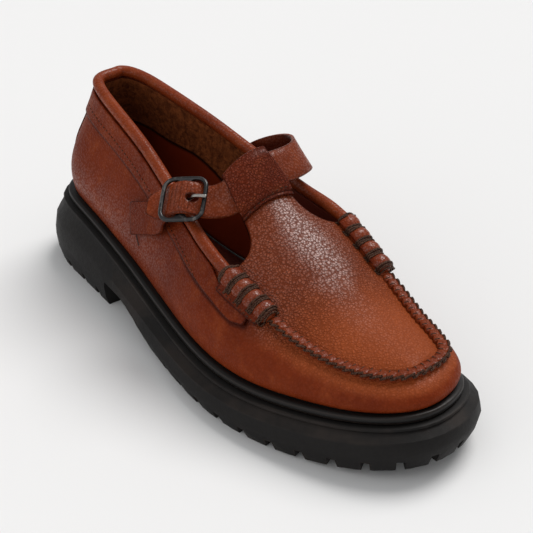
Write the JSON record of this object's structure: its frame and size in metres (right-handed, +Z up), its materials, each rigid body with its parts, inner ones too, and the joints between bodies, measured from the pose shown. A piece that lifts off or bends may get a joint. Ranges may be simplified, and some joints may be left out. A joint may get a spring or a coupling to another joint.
{
  "type": "buckle loafer",
  "caption": "Moccasin loafer with a T-bar, a buckled strap through its loop, sewn rolls on the seam and a heeled lug sole, for the right foot.",
  "frame": {"origin": "middle of the shoe's box, on the ground", "axes": "+X from the heel to the toe, +Y to the medial side, +Z up"},
  "size_m": [0.285, 0.1064, 0.1023],
  "materials": {
    "leather": "grained, cognac brown",
    "edge_leather": "smooth, tan brown",
    "sock": "matt, dark red brown",
    "sole_rubber": "matt black",
    "gunmetal": "dark gunmetal"
  },
  "bodies": {
    "root": {"outsole": "sole_rubber", "midsole": "sole_rubber", "insole": "sock", "upper": "leather", "heel_strip": "leather", "collar_band": "leather", "collar_binding": "edge_leather", "beef_roll_lateral": "edge_leather", "beef_roll_medial": "edge_leather", "t_bar_loop": "leather", "strap": "leather", "buckle_tab": "leather", "buckle_frame": "gunmetal", "buckle_prong": "gunmetal"}
  },
  "joints": []
}
